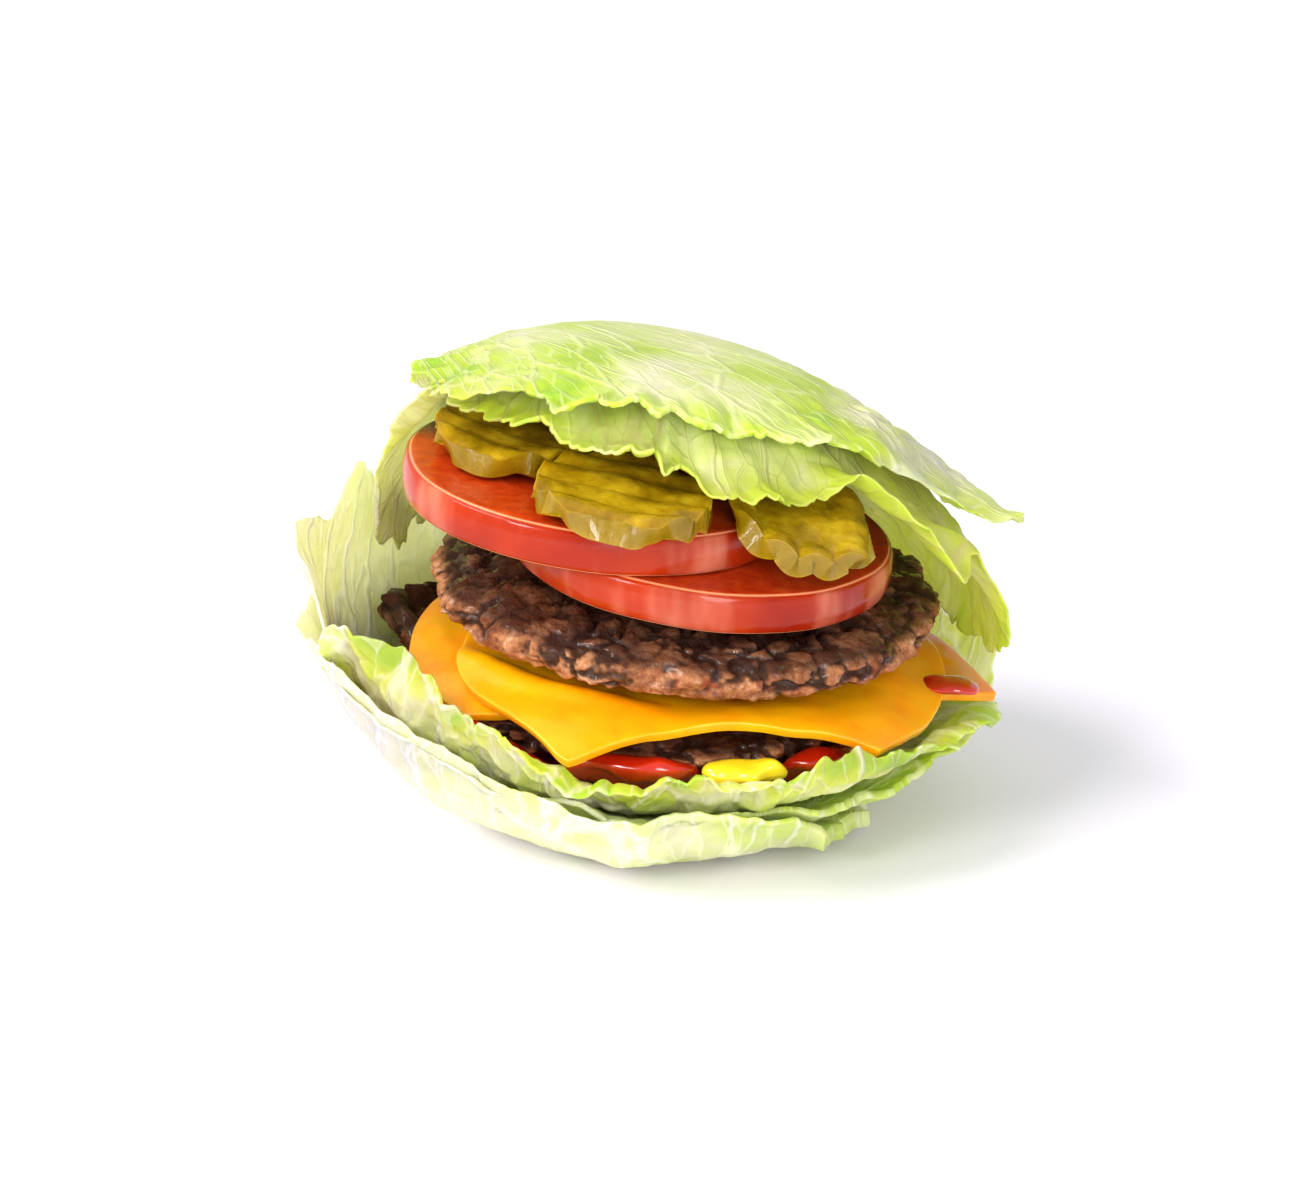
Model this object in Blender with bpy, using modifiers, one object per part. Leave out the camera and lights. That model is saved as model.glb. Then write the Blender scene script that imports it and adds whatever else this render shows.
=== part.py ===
"""A double cheeseburger wrapped in iceberg lettuce instead of a bun.

Three nested leaves make the bowl that it stands on, and two more make the lid. Between them
lie ketchup, a squirt of mustard, two beef patties with two slices of cheese, two slices of
tomato and four crinkle-cut pickle slices. X points to the right of the open side, Y away from
it and Z up. The origin is on the table, under the middle of the whole.
"""

import math

import bmesh
import bpy
from mathutils import Matrix, Vector, noise

MM = 0.001

# Where the axis of the bowl stands, so that the middle of the whole is at the origin.
PLACE = Vector((-1.3 * MM, -5.5 * MM, 0))

# The bowl of leaves: a flat spot to stand on, then a wall that curls up from it.
BOWL_FLAT = 22 * MM
BOWL_CURL_RADIUS = [
    (0, 86), (20, 68), (45, 62), (80, 57), (150, 54), (185, 54), (210, 52), (228, 47), (250, 49), (270, 51),
    (300, 54), (320, 59), (340, 70),
]
BOWL_STEEPEST = math.radians(125)
BOWL_CORE_ENDS = 76 * MM
INNER_SET_IN = 6.0 * MM
LEAF_EDGE = 0.95 * MM
LEAF_CORE = 6.4 * MM
LEAF_GAP = 0.8 * MM

# The lid of leaves, in its own frame, which leans down to the right.
LID_PLACE = Vector((3 * MM, 5 * MM, 104.5 * MM))
LID_LEAN = math.radians(10)
LID_FLAT = 15 * MM
LID_CURL_RADIUS = [
    (0, 76), (20, 73), (45, 60), (90, 50), (135, 47), (155, 49), (175, 48), (190, 50), (225, 64), (270, 66),
    (310, 64), (340, 73),
]
LID_CORE = 2.2 * MM
LID_CORE_ENDS = 60 * MM
LID_GAP = 1.8 * MM

# The filling: every layer shares one tilt, and heights are taken on its axis.
STACK_PITCH = math.radians(4.0)
STACK_ROLL = math.radians(3.3)
PATTY_RADIUS = 55 * MM
LOWER_PATTY_THICKNESS = 11.4 * MM
UPPER_PATTY_THICKNESS = 13.6 * MM
CHEESE_THICKNESS = 2.6 * MM
KETCHUP_THICKNESS = 3.2 * MM
TOMATO_THICKNESS = 9.0 * MM
PICKLE_THICKNESS = 4.8 * MM
PICKLE_WAVE_LENGTH = 7.6 * MM
PICKLE_WAVE_HEIGHT = 0.95 * MM

# How blunt the rim of a layer is: 0.5 would be an ellipse, 0 a cylinder.
PATTY_BLUNTNESS = 0.22
SAUCE_BLUNTNESS = 0.4


def clear_scene():
    for item in list(bpy.data.objects):
        bpy.data.objects.remove(item, do_unlink=True)


def collection_named(name):
    collection = bpy.data.collections.new(name)
    bpy.context.scene.collection.children.link(collection)
    return collection


def food_material(name, colour, roughness):
    material = bpy.data.materials.new(name)
    material.use_nodes = True
    shader = material.node_tree.nodes["Principled BSDF"]
    shader.inputs["Base Color"].default_value = (*colour, 1)
    shader.inputs["Roughness"].default_value = roughness
    shader.inputs["Metallic"].default_value = 0
    material.diffuse_color = (*colour, 1)
    return material


def object_from(name, shape, material, collection):
    """A named object from a bmesh, shaded smooth."""
    mesh = bpy.data.meshes.new(name)
    shape.to_mesh(mesh)
    shape.free()
    mesh.materials.append(material)
    mesh.shade_smooth()
    thing = bpy.data.objects.new(name, mesh)
    collection.objects.link(thing)
    return thing


def stack_pose(x, y, height, pitch=0.0, roll=0.0, turn=0.0):
    """Where a layer lies: its place, and its tilt on top of the tilt of the whole filling."""
    tilt = Matrix.Rotation(STACK_ROLL + roll, 4, "Y") @ Matrix.Rotation(STACK_PITCH + pitch, 4, "X")
    return Matrix.Translation(PLACE + Vector((x, y, height))) @ tilt @ Matrix.Rotation(turn, 4, "Z")


def by_direction(rows, angle):
    """A smooth value round the compass, from rows of (degrees, value) in rising order."""
    degrees = math.degrees(angle) % 360
    count = len(rows)
    following = next((i for i, row in enumerate(rows) if row[0] > degrees), 0)
    picked = [rows[(following + step) % count] for step in (-2, -1, 0, 1)]
    at = [picked[1][0] + (row[0] - picked[1][0] + 180) % 360 - 180 for row in picked]
    at[0] = picked[1][0] - (picked[1][0] - picked[0][0]) % 360
    at[2] = picked[1][0] + (picked[2][0] - picked[1][0]) % 360
    at[3] = at[2] + (picked[3][0] - picked[2][0]) % 360
    width = at[2] - at[1]
    share = ((degrees - at[1]) % 360) / width
    rise_in = (picked[2][1] - picked[0][1]) / (at[2] - at[0]) * width
    rise_out = (picked[3][1] - picked[1][1]) / (at[3] - at[1]) * width
    square, cube = share**2, share**3
    return (
        (2 * cube - 3 * square + 1) * picked[1][1]
        + (cube - 2 * square + share) * rise_in
        + (3 * square - 2 * cube) * picked[2][1]
        + (cube - square) * rise_out
    )


def ease(value):
    held = min(max(value, 0.0), 1.0)
    return held * held * (3 - 2 * held)


def ripple(angle, waves, seed):
    """Uneven waves round a rim, from about -1 to 1, that close on themselves."""
    radius = waves / math.tau
    return 1.7 * noise.noise(Vector((radius * math.cos(angle), radius * math.sin(angle), seed)))


def curl(distance, flat, radius, steepest):
    """Radius, rise and slope at a distance along a sheet that lies flat, then curls up."""
    if distance <= flat:
        return distance, 0.0, 0.0
    slope = min((distance - flat) / radius, steepest)
    straight = distance - flat - slope * radius
    out = flat + radius * math.sin(slope) + straight * math.cos(slope)
    rise = radius * (1 - math.cos(slope)) + straight * math.sin(slope)
    return out, rise, slope


def disc_sheet(across, along):
    """A square grid drawn out to a round sheet of radius 1, split into triangles."""
    sheet = bmesh.new()
    bmesh.ops.create_grid(sheet, x_segments=across, y_segments=along, size=1)
    for vert in sheet.verts:
        x, y = vert.co.x, vert.co.y
        vert.co.x = x * math.sqrt(1 - y * y / 2)
        vert.co.y = y * math.sqrt(1 - x * x / 2)
    bmesh.ops.triangulate(sheet, faces=sheet.faces[:])
    return sheet


def core_share(distance, ends):
    """1 over the thick heart of a leaf, falling to 0 where it has thinned out."""
    return 1 - ease((distance - BOWL_FLAT) / (ends - BOWL_FLAT))


def leaf(name, up, cells, length, shell, inset, frill, core, material, collection):
    """One leaf: up is 1 for the bowl and -1 for the lid, length its reach by direction in mm.

    shell(distance, angle) gives the sheet's radius, rise and slope, inset(distance) how far it
    lies inside that shell, frill(distance, angle, reach) how far it waves outwards, and core is
    (its full thickness, the distance where that has thinned to an edge).
    """
    core_thickness, core_ends = core
    sheet = disc_sheet(cells, cells)
    heavy = []
    for vert in sheet.verts:
        share = min(vert.co.xy.length, 1.0)
        angle = math.atan2(vert.co.y, vert.co.x)
        reach = by_direction(length, angle) * MM
        distance = share * reach
        out, rise, slope = shell(distance, angle)
        inwards = inset(distance) - frill(distance, angle, reach)
        out -= inwards * math.sin(slope)
        height = rise + inwards * math.cos(slope)
        vert.co = Vector((out * math.cos(angle), out * math.sin(angle), up * height))
        heavy.append(core_share(distance, core_ends))
    if up < 0:
        bmesh.ops.reverse_faces(sheet, faces=sheet.faces[:])
    thing = object_from(name, sheet, material, collection)
    group = thing.vertex_groups.new(name="core")
    for index, weight in enumerate(heavy):
        group.add([index], weight, "REPLACE")
    wall = thing.modifiers.new("Wall", "SOLIDIFY")
    wall.thickness = core_thickness
    wall.offset = 1
    wall.vertex_group = "core"
    wall.thickness_vertex_group = LEAF_EDGE / core_thickness
    thing.location = PLACE
    return thing


def bowl_shell(distance, angle):
    radius = by_direction(BOWL_CURL_RADIUS, angle) * MM
    return curl(distance, BOWL_FLAT, radius, BOWL_STEEPEST)


def margin_frill(band, amplitude, waves, seed, lean):
    """Waves that grow over the last band of a leaf, with a lean outwards by direction in mm."""

    def frill(distance, angle, reach):
        growth = ease((distance - reach + band) / band)
        return growth * (by_direction(lean, angle) * MM + amplitude * ripple(angle, waves, seed))

    return frill


def bowl_leaves(material, collection):
    outer_length = [
        (0, 47), (30, 53), (60, 68), (90, 82), (120, 91), (150, 98), (178, 101), (192, 98), (203, 95),
        (217, 84), (232, 77), (248, 73), (265, 71), (283, 70), (300, 64), (318, 52), (340, 47),
    ]
    middle_length = [
        (0, 72), (12, 86), (17, 99), (23, 90), (34, 92), (50, 98), (70, 106), (95, 110), (125, 115),
        (150, 119), (162, 127), (170, 117), (176, 121), (184, 118), (191, 110), (199, 98), (212, 90),
        (228, 81), (245, 75), (262, 72), (280, 72), (300, 68), (320, 62), (340, 62),
    ]
    inner_length = [
        (0, 85), (20, 78), (50, 76), (90, 78), (135, 82), (170, 82), (193, 88), (199, 101), (207, 106),
        (215, 103), (222, 93), (230, 86), (240, 83), (250, 81), (260, 77), (272, 76), (288, 77), (302, 78),
        (316, 79), (332, 80), (350, 84),
    ]

    def middle_inset(distance):
        thickness = LEAF_EDGE + (LEAF_CORE - LEAF_EDGE) * core_share(distance, BOWL_CORE_ENDS)
        return thickness + LEAF_GAP

    def inner_inset(distance):
        at_core = 2 * LEAF_CORE + 2 * LEAF_GAP
        return INNER_SET_IN + (at_core - INNER_SET_IN) * core_share(distance, BOWL_CORE_ENDS)

    middle_lean = [(0, 0), (165, 0.5), (175, 1), (184, 5), (192, 0.5), (205, 0)]
    core = (LEAF_CORE, BOWL_CORE_ENDS)
    return [
        leaf(
            "lettuce_bowl_outer", 1, 16, outer_length, bowl_shell, lambda distance: 0.0,
            margin_frill(22 * MM, 1.5 * MM, 15, 1.3, [(0, 1.7), (180, 1.7)]), core, material, collection,
        ),
        leaf(
            "lettuce_bowl_middle", 1, 20, middle_length, bowl_shell, middle_inset,
            margin_frill(14 * MM, 0.5 * MM, 17, 4.1, middle_lean), core, material, collection,
        ),
        leaf(
            "lettuce_bowl_inner", 1, 20, inner_length, bowl_shell, inner_inset,
            margin_frill(24 * MM, 2.2 * MM, 19, 7.7, [(0, -0.3), (180, -0.3)]), core, material, collection,
        ),
    ]


def lid_leaves(material, collection):
    outer_length = [
        (0, 86), (20, 81), (50, 80), (90, 82), (125, 76), (155, 66), (175, 55), (192, 53), (205, 55),
        (216, 56), (225, 53), (233, 46), (242, 50), (255, 44), (270, 41), (285, 43), (300, 45), (315, 47),
        (328, 55), (340, 74), (352, 90),
    ]
    inner_length = [
        (0, 111), (20, 107), (60, 100), (90, 106), (120, 104), (145, 100), (160, 105), (170, 96), (182, 72),
        (195, 56), (220, 50), (240, 48), (255, 52), (270, 52), (288, 58), (302, 57.5), (313, 58.8), (321, 61),
        (329, 74), (335, 86), (341, 82), (348, 104),
    ]
    outer_steepest = [
        (0, 30), (30, 60), (60, 88), (120, 90), (160, 84), (200, 60), (270, 40), (320, 34), (345, 27),
    ]
    inner_steepest = [(0, 80), (60, 90), (120, 92), (180, 92), (220, 70), (270, 60), (320, 70)]
    inner_lean = [(0, -1.4), (150, -1.4), (176, 1.2), (198, 1.2), (228, -1.4)]

    def shell_with(steepest):
        def shell(distance, angle):
            radius = by_direction(LID_CURL_RADIUS, angle) * MM
            return curl(distance, LID_FLAT, radius, math.radians(by_direction(steepest, angle)))

        return shell

    core = (LID_CORE, LID_CORE_ENDS)
    made = [
        leaf(
            "lettuce_lid_outer", -1, 20, outer_length, shell_with(outer_steepest), lambda distance: 0.0,
            margin_frill(20 * MM, 1.8 * MM, 17, 2.2, [(0, 1), (180, 1)]), core, material, collection,
        ),
        leaf(
            "lettuce_lid_inner", -1, 20, inner_length, shell_with(inner_steepest),
            lambda distance: LID_CORE + LID_GAP,
            margin_frill(22 * MM, 1.6 * MM, 21, 5.5, inner_lean), core, material, collection,
        ),
    ]
    for thing in made:
        thing.location = PLACE + LID_PLACE
        thing.rotation_euler = (0, LID_LEAN, 0)
    return made


def bluntly(level, bluntness):
    """How far a round layer spreads at a level from -1 to 1 of its height, as a share of its radius."""
    return max(0.0, 1 - level**2) ** bluntness if abs(level) < 0.9999 else 0.0


def patty(name, pose, radius, thickness, seed, outline, lift, material, collection):
    """A hand-pressed patty: a flattened ball with a blunt, lumpy and cracked rim.

    outline is how far the rim stands out by direction in mm, and lift how far it is bent up.
    """
    shape = bmesh.new()
    bmesh.ops.create_uvsphere(shape, u_segments=38, v_segments=11, radius=1)
    for vert in shape.verts:
        angle = math.atan2(vert.co.y, vert.co.x)
        level = math.copysign(abs(vert.co.z) ** 0.8, vert.co.z)
        spread = bluntly(vert.co.z, PATTY_BLUNTNESS)
        reach = (radius + by_direction(outline, angle) * MM) * spread
        point = Vector((reach * math.cos(angle), reach * math.sin(angle), level * thickness / 2))
        lump = noise.noise(point / (11 * MM) + Vector((0, 0, seed)))
        crumb = noise.noise(point / (5 * MM) + Vector((0, seed, 0)))
        rim = ease((spread - 0.75) / 0.2)
        bulge = rim * (2.6 * MM * lump + 1.3 * MM * crumb)
        point += Vector((math.cos(angle), math.sin(angle), 0)) * bulge
        point.z += (0.5 + 0.5 * rim) * 0.9 * MM * lump
        point.z += ease((spread - 0.88) / 0.07) * by_direction(lift, angle) * MM
        vert.co = point
    thing = object_from(name, shape, material, collection)
    thing.matrix_world = pose
    return thing


def slice_point(outline, across, along):
    """A point of a four-sided slice with curved sides, across and along it from -1 to 1.

    outline goes round from the near left corner: corner, middle of the side, corner and so on.
    """
    corners = [(-1, -1), (1, -1), (1, 1), (-1, 1)]
    middles = [(0, -1), (1, 0), (0, 1), (-1, 0)]
    spot = Vector((0, 0, 0))
    for (x, y), point in zip(corners, outline[0::2]):
        spot += point * (1 + across * x) * (1 + along * y) * (across * x + along * y - 1) / 4
    for (x, y), point in zip(middles, outline[1::2]):
        bow = 1 - (along if x else across) ** 2
        spot += point * bow * (1 + across * x + along * y) / 2
    return spot


def cheese(name, pose, outline, flat, radius, steepest, material, collection):
    """A soft slice that lies flat out to a radius and droops beyond it, most at its corners."""
    points = [Vector((x * MM, y * MM, 0)) for x, y in outline]
    sheet = bmesh.new()
    bmesh.ops.create_grid(sheet, x_segments=11, y_segments=11, size=1)
    for vert in sheet.verts:
        spot = slice_point(points, vert.co.x, vert.co.y)
        angle = math.atan2(spot.y, spot.x)
        out, fall, slope = curl(spot.length, flat, radius, math.radians(by_direction(steepest, angle)))
        vert.co = Vector((out * math.cos(angle), out * math.sin(angle), -fall))
    bmesh.ops.triangulate(sheet, faces=sheet.faces[:])
    thing = object_from(name, sheet, material, collection)
    wall = thing.modifiers.new("Wall", "SOLIDIFY")
    wall.thickness = CHEESE_THICKNESS
    wall.offset = 1
    thing.matrix_world = pose
    return thing


def flat_blob(name, pose, outline, thickness, lip, material, collection, segments=36, rings=7):
    """A puddle of thick sauce with a fat round edge; outline is its reach by direction in mm.

    lip is how far the rim of a wide puddle is pushed up by direction in mm.
    """
    shape = bmesh.new()
    bmesh.ops.create_uvsphere(shape, u_segments=segments, v_segments=rings, radius=1)
    for vert in shape.verts:
        angle = math.atan2(vert.co.y, vert.co.x)
        spread = bluntly(vert.co.z, SAUCE_BLUNTNESS)
        reach = by_direction(outline, angle) * MM * spread
        height = vert.co.z * thickness / 2
        height += by_direction(lip, angle) * MM * ease((reach - 42 * MM) / (13 * MM))
        vert.co = Vector((reach * math.cos(angle), reach * math.sin(angle), height))
    thing = object_from(name, shape, material, collection)
    thing.matrix_world = pose
    return thing


def tomato_slice(name, pose, radius, material, collection):
    """A round slice, a little uneven, with its skin edge rounded."""
    shape = bmesh.new()
    bmesh.ops.create_cone(
        shape, cap_ends=True, cap_tris=True, segments=32,
        radius1=radius, radius2=radius, depth=TOMATO_THICKNESS,
    )
    for vert in shape.verts:
        angle = math.atan2(vert.co.y, vert.co.x)
        vert.co.xy *= 1 + 0.02 * ripple(angle, 5, radius * 100)
    thing = object_from(name, shape, material, collection)
    edge = thing.modifiers.new("Edge", "BEVEL")
    edge.width = 1.2 * MM
    edge.segments = 2
    edge.limit_method = "ANGLE"
    thing.matrix_world = pose
    return thing


def pickle_slice(name, pose, radius, seed, material, collection):
    """A crinkle-cut slice: both faces wave together, so the rim is scalloped."""
    sheet = disc_sheet(17, 5)
    for vert in sheet.verts:
        angle = math.atan2(vert.co.y, vert.co.x)
        reach = radius * (1 + 0.05 * ripple(angle, 6, seed))
        x, y = vert.co.x * reach, vert.co.y * reach
        sag = 1.4 * MM * noise.noise(Vector((x, y, seed * MM)) / (16 * MM))
        wave = PICKLE_WAVE_HEIGHT * math.sin(math.tau * x / PICKLE_WAVE_LENGTH)
        vert.co = Vector((x, y, wave + sag))
    thing = object_from(name, sheet, material, collection)
    wall = thing.modifiers.new("Wall", "SOLIDIFY")
    wall.thickness = PICKLE_THICKNESS
    wall.offset = 0
    thing.matrix_world = pose
    return thing


def fillings(materials, collection):
    beef, slice_yellow = materials["beef"], materials["cheese"]
    flat_blob(
        "ketchup", stack_pose(0, -1 * MM, 24.65 * MM),
        [
            (0, 50), (90, 50), (180, 51), (215, 56), (230, 56), (246, 53), (262, 54), (276, 54), (283, 47),
            (291, 41), (299, 47), (307, 56), (322, 55), (340, 51),
        ],
        KETCHUP_THICKNESS, [(0, -0.5), (90, -1.5), (180, 0), (214, 5.7), (232, 6.2), (322, 6.2), (340, 3)],
        materials["ketchup"], collection,
    )
    flat_blob(
        "mustard", stack_pose(18.4 * MM, -52.2 * MM, 28.8 * MM, roll=math.radians(-3)),
        [(0, 9), (50, 4.4), (90, 3.4), (130, 4.2), (180, 8.6), (230, 4.4), (270, 3.6), (320, 4.2)],
        6.4 * MM, [(0, 0), (180, 0)], materials["mustard"], collection, segments=16, rings=6,
    )
    patty(
        "patty_lower", stack_pose(-2 * MM, 2 * MM, 32.6 * MM), 52.5 * MM, LOWER_PATTY_THICKNESS, 3.0,
        [
            (0, 0), (60, 0), (143, 0), (152, 7), (166, 9), (175, 1), (184, -3), (235, -3), (255, -1),
            (300, 0),
        ],
        [(0, 0), (143, 0), (152, 4.5), (166, 5), (175, 0), (200, 0)], beef, collection,
    )
    patty(
        "patty_upper", stack_pose(6 * MM, 0, 52.0 * MM, roll=math.radians(1.4)), PATTY_RADIUS,
        UPPER_PATTY_THICKNESS, 8.0,
        [(0, 1), (90, 0), (180, 0), (270, -1)], [(0, 0), (180, 0)], beef, collection,
    )
    cheese(
        "cheese_lower", stack_pose(-2 * MM, 2 * MM, 38.9 * MM),
        [(-38, -42), (15, -38), (77, -12), (62, 22), (40, 50), (-4, 43), (-42, 26), (-51, -12)],
        46 * MM, 12 * MM, [(0, 9), (60, 40), (180, 36), (225, 26), (300, 20)], slice_yellow, collection,
    )
    cheese(
        "cheese_upper", stack_pose(0, 0, 42.0 * MM),
        [(-17.5, -63.5), (15, -53.5), (47, -50), (64, -8), (48, 32), (0, 34), (-30, 24), (-36.5, -27)],
        50 * MM, 30 * MM, [(0, 20), (90, 24), (180, 26), (230, 24), (255, 11), (285, 0), (315, 17)],
        slice_yellow, collection,
    )
    tomato_slice(
        "tomato_lower", stack_pose(10 * MM, -6 * MM, 64.4 * MM, roll=math.radians(4)), 41 * MM,
        materials["tomato"], collection,
    )
    tomato_slice(
        "tomato_upper",
        stack_pose(-12.5 * MM, -5.5 * MM, 76.75 * MM, roll=math.radians(4)),
        41.5 * MM, materials["tomato"], collection,
    )


def pickles(material, collection):
    rows = [
        ("pickle_middle", -6.6, -36.5, 83.2, 3, 4, 18.5, 2.0, 80),
        ("pickle_left", -30.0, -7.5, 88.2, 2, 3.5, 17.5, 3.0, 60),
        ("pickle_right", 30.4, -31.4, 76.33, 12, 11, 15.0, 5.0, 5),
        ("pickle_back", 9.5, 9, 84.3, 0, 4, 16.5, 6.0, 35),
    ]
    for name, x, y, height, pitch, roll, radius, seed, turn in rows:
        pose = stack_pose(
            x * MM, y * MM, height * MM, math.radians(pitch), math.radians(roll), math.radians(turn)
        )
        pickle_slice(name, pose, radius * MM, seed, material, collection)


def build():
    clear_scene()
    parts = collection_named("lettuce_wrapped_double_cheeseburger")
    materials = {
        "lettuce": food_material("lettuce", (0.62, 0.78, 0.28), 0.45),
        "beef": food_material("beef", (0.16, 0.06, 0.03), 0.5),
        "cheese": food_material("cheese", (1.0, 0.52, 0.03), 0.35),
        "tomato": food_material("tomato", (0.75, 0.06, 0.02), 0.25),
        "pickle": food_material("pickle", (0.42, 0.36, 0.03), 0.25),
        "ketchup": food_material("ketchup", (0.45, 0.01, 0.0), 0.2),
        "mustard": food_material("mustard", (0.9, 0.65, 0.02), 0.3),
    }
    bowl_leaves(materials["lettuce"], parts)
    fillings(materials, parts)
    pickles(materials["pickle"], parts)
    lid_leaves(materials["lettuce"], parts)


build()
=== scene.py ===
"""A double cheeseburger wrapped in iceberg lettuce, finished for a close look.

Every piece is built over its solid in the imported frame, from the same sizes in millimetres, then
given the folds, crumbs, veins and wet surfaces that the plain solids leave out.
"""

import math

import bpy
import numpy as np
from mathutils import Matrix, Vector, noise


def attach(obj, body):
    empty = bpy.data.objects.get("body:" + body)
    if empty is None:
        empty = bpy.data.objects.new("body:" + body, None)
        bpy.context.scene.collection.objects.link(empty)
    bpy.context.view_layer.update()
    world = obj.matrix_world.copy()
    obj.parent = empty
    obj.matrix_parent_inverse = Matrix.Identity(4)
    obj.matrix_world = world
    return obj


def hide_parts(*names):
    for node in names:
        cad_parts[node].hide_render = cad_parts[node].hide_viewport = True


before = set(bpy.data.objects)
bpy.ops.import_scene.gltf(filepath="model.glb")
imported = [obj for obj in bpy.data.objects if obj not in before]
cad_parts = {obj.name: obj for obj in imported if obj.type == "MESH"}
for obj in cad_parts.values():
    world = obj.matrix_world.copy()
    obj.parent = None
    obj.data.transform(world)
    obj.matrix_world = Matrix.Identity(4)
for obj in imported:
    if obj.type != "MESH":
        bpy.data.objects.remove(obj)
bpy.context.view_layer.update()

MM = 0.001
PLACE = np.array((-1.3, -5.5, 0.0)) * MM

# The leaves, as the solids have them.
BOWL_FLAT = 22 * MM
BOWL_CURL_RADIUS = [
    (0, 86), (20, 68), (45, 62), (80, 57), (150, 54), (185, 54), (210, 52), (228, 47), (250, 49), (270, 51),
    (300, 54), (320, 59), (340, 70),
]
BOWL_STEEPEST = math.radians(125)
BOWL_CORE_ENDS = 76 * MM
LEAF_CORE = 6.4 * MM
LEAF_EDGE = 0.95 * MM
LEAF_GAP = 0.8 * MM
INNER_SET_IN = 6.0 * MM
THIN_MARGIN = 0.5 * MM
LID_PLACE = np.array((3, 5, 104.5)) * MM
LID_LEAN = math.radians(10)
LID_FLAT = 15 * MM
LID_CURL_RADIUS = [
    (0, 76), (20, 73), (45, 60), (90, 50), (135, 47), (155, 49), (175, 48), (190, 50), (225, 64), (270, 66),
    (310, 64), (340, 73),
]
LID_CORE = 2.2 * MM
LID_CORE_ENDS = 60 * MM
LID_GAP = 1.8 * MM

# The filling.
STACK_PITCH = math.radians(4.0)
STACK_ROLL = math.radians(3.3)
PATTY_BLUNTNESS = 0.22
CLUMP_SIZE = 7.0 * MM
GRAIN_SIZE = 3.2 * MM
CHEESE_SOFT_THICKNESS = 2.2 * MM
TOMATO_THICKNESS = 9.0 * MM
PICKLE_THICKNESS = 4.8 * MM
PICKLE_WAVE_LENGTH = 7.6 * MM
PICKLE_WAVE_HEIGHT = 0.95 * MM

# The camera, as the photograph has it.
VIEW_UP = math.radians(18)
VIEW_AWAY = 0.681
VIEW_AIM = Vector((-1.3 * MM, -5.5 * MM, 49 * MM))


# Numbers round the compass, and noise

def ease(value):
    held = np.clip(value, 0, 1)
    return held * held * (3 - 2 * held)


def by_direction(rows, angle):
    """A smooth value round the compass, from rows of (degrees, value), for an array of angles."""
    marks, values = np.array(rows, float).T
    degrees = np.degrees(angle) % 360
    after = np.searchsorted(marks, degrees, side="right")
    m = [marks[(after + step) % len(rows)] for step in (-2, -1, 0, 1)]
    v = [values[(after + step) % len(rows)] for step in (-2, -1, 0, 1)]
    before, width, beyond = (m[1] - m[0]) % 360, (m[2] - m[1]) % 360, (m[3] - m[2]) % 360
    share = ((degrees - m[1]) % 360) / width
    rise_in = (v[2] - v[0]) / (before + width) * width
    rise_out = (v[3] - v[1]) / (width + beyond) * width
    square, cube = share**2, share**3
    return (
        (2 * cube - 3 * square + 1) * v[1]
        + (cube - 2 * square + share) * rise_in
        + (3 * square - 2 * cube) * v[2]
        + (cube - square) * rise_out
    )


def soft_noise(points, size, seed=0.0):
    """Noise from about -1 to 1 in lumps of a size, at an array of points."""
    spots = points / size + np.array((seed, 0.37 * seed, -0.61 * seed))
    return 1.7 * np.fromiter((noise.noise(spot) for spot in spots.tolist()), float, len(spots))


def lumps(points, size, seed=0.0, width=0.35):
    """(nearness to the middle of a lump from 0 to 1, nearness to a crack from 0 to 1) at points."""
    spots = points / size + np.array((seed, 0.37 * seed, -0.61 * seed))
    near = np.array([noise.voronoi(spot)[0][:2] for spot in spots.tolist()])
    middle = 1 - np.clip(near[:, 0] / 0.75, 0, 1) ** 2
    crack = 1 - np.clip((near[:, 1] - near[:, 0]) / width, 0, 1)
    return middle, crack


def clumps(points, size, seed, width):
    """Lumps of uneven shape, as pressed mince has."""
    warp = np.stack([soft_noise(points, 1.1 * size, seed + turn) for turn in (3, 11, 17)], axis=1)
    return lumps(points + 0.42 * size * warp, size, seed, width)


def ripple(angle, waves, seed):
    """Uneven waves round a rim, from about -1 to 1, that close on themselves."""
    radius = waves / math.tau
    marks = np.linspace(0, math.tau, 1441)
    ring = np.stack((radius * np.cos(marks), radius * np.sin(marks), np.full(marks.shape, seed)), axis=1)
    values = 1.7 * np.array([noise.noise(spot) for spot in ring.tolist()])
    return np.interp(angle % math.tau, marks, values)


def curl(distance, flat, radius, steepest):
    """Radius, rise and slope at a distance along a sheet that lies flat, then curls up."""
    slope = np.clip((distance - flat) / radius, 0, steepest)
    straight = distance - flat - slope * radius
    out = flat + radius * np.sin(slope) + straight * np.cos(slope)
    rise = radius * (1 - np.cos(slope)) + straight * np.sin(slope)
    return out, rise, slope


# Making and finishing meshes

def grid(name, across, along):
    bpy.ops.object.select_all(action="DESELECT")
    bpy.ops.mesh.primitive_grid_add(x_subdivisions=across, y_subdivisions=along, size=2)
    return named(name)


def ball(name, segments, rings):
    bpy.ops.object.select_all(action="DESELECT")
    bpy.ops.mesh.primitive_uv_sphere_add(segments=segments, ring_count=rings, radius=1)
    return named(name)


def named(name):
    piece = bpy.context.object
    piece.name = name
    piece.data.name = name
    return piece


def points_of(piece):
    flat = np.empty(len(piece.data.vertices) * 3, np.float32)
    piece.data.vertices.foreach_get("co", flat)
    return flat.reshape(-1, 3).astype(float)


def move_points(piece, points):
    piece.data.vertices.foreach_set("co", points.astype(np.float32).ravel())
    piece.data.update()


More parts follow.
